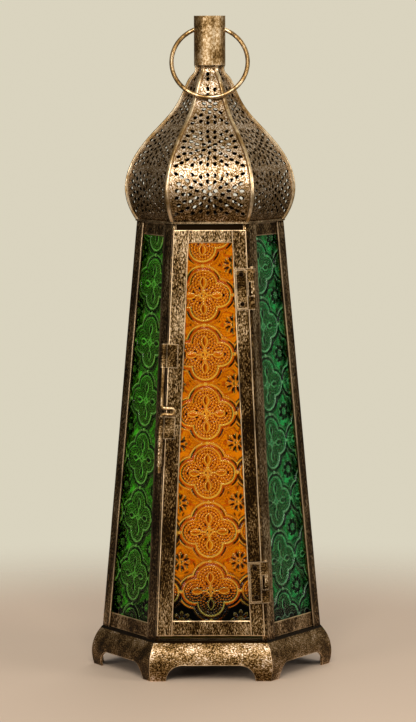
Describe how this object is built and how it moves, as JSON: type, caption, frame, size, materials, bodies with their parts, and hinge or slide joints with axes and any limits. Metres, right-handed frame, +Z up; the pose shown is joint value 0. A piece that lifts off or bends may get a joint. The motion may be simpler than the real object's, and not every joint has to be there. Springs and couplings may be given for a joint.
{
  "type": "candle lantern",
  "caption": "Hexagonal tapered candle lantern with coloured pressed-glass panes, a hinged door with a wire bolt, a pierced onion dome, bracket feet and a wire carry ring.",
  "frame": {"origin": "on the lantern's axis at the level of its feet", "axes": "+Z up, the door faces -Y, +X to the right of someone who faces the door"},
  "size_m": [0.1114, 0.0966, 0.3],
  "materials": {
    "antique_brass": "antique patina, rubbed edges",
    "pierced_brass": "antique patina, punched sheet",
    "rubbed_brass": "rubbed bright over brown patina",
    "dark_brass": "dark smoked patina",
    "amber_glass": "pressed quatrefoil pattern",
    "green_glass": "pressed quatrefoil pattern",
    "teal_glass": "pressed quatrefoil pattern"
  },
  "bodies": {
    "lantern": {"base_skirt": "antique_brass", "candle_cup": "dark_brass", "candle_cup_rivet": "rubbed_brass", "corner_post_back_left": "antique_brass", "corner_post_back_right": "antique_brass", "corner_post_front_left": "antique_brass", "corner_post_front_right": "antique_brass", "corner_post_left": "antique_brass", "corner_post_right": "antique_brass", "crown_ring": "antique_brass", "dome_panel_back": "pierced_brass", "dome_panel_front": "pierced_brass", "dome_panel_left_back": "pierced_brass", "dome_panel_left_front": "pierced_brass", "dome_panel_right_back": "pierced_brass", "dome_panel_right_front": "pierced_brass", "dome_rib_back_left": "rubbed_brass", "dome_rib_back_right": "rubbed_brass", "dome_rib_front_left": "rubbed_brass", "dome_rib_front_right": "rubbed_brass", "dome_rib_left": "rubbed_brass", "dome_rib_right": "rubbed_brass", "finial_tube": "antique_brass", "floor_plate": "dark_brass", "hinge_post_rivets": "rubbed_brass", "latch_keeper": "antique_brass", "lower_hinge_pin": "rubbed_brass", "lower_hinge_post_leaf": "antique_brass", "side_bottom_rail_back": "antique_brass", "side_bottom_rail_left_back": "antique_brass", "side_bottom_rail_left_front": "antique_brass", "side_bottom_rail_right_back": "antique_brass", "side_bottom_rail_right_front": "antique_brass", "side_glass_back": "amber_glass", "side_glass_clips": "dark_brass", "side_glass_left_back": "green_glass", "side_glass_left_front": "green_glass", "side_glass_right_back": "teal_glass", "side_glass_right_front": "teal_glass", "side_top_rail_back": "antique_brass", "side_top_rail_front": "antique_brass", "side_top_rail_left_back": "antique_brass", "side_top_rail_left_front": "antique_brass", "side_top_rail_right_back": "antique_brass", "side_top_rail_right_front": "antique_brass", "upper_hinge_pin": "rubbed_brass", "upper_hinge_post_leaf": "antique_brass"},
    "door": {"door_bottom_rail": "antique_brass", "door_glass": "amber_glass", "door_glass_clips": "dark_brass", "door_left_stile": "antique_brass", "door_right_stile": "antique_brass", "door_top_rail": "antique_brass", "hinge_door_rivets": "rubbed_brass", "latch_lower_guide": "antique_brass", "latch_upper_guide": "antique_brass", "lower_hinge_door_leaf": "antique_brass", "upper_hinge_door_leaf": "antique_brass"},
    "latch_bolt": {"latch_bolt": "rubbed_brass"},
    "carry_ring": {"carry_ring": "rubbed_brass"}
  },
  "joints": [
    {"name": "door_hinge", "type": "hinge", "parent": "lantern", "child": "door", "pos_m": [0.02234, -0.03819, 0.11016], "axis": [-0.0445, 0.077, 0.996], "range_deg": [0, 170]},
    {"name": "latch_slide", "type": "slide", "parent": "door", "child": "latch_bolt", "axis": [0.0445, 0.077, 0.996], "range_m": [0, 0.017]},
    {"name": "ring_swing", "type": "hinge", "parent": "lantern", "child": "carry_ring", "pos_m": [0, 0, 0.2937], "axis": [-1, 0, 0], "range_deg": [0, 313.6]}
  ]
}
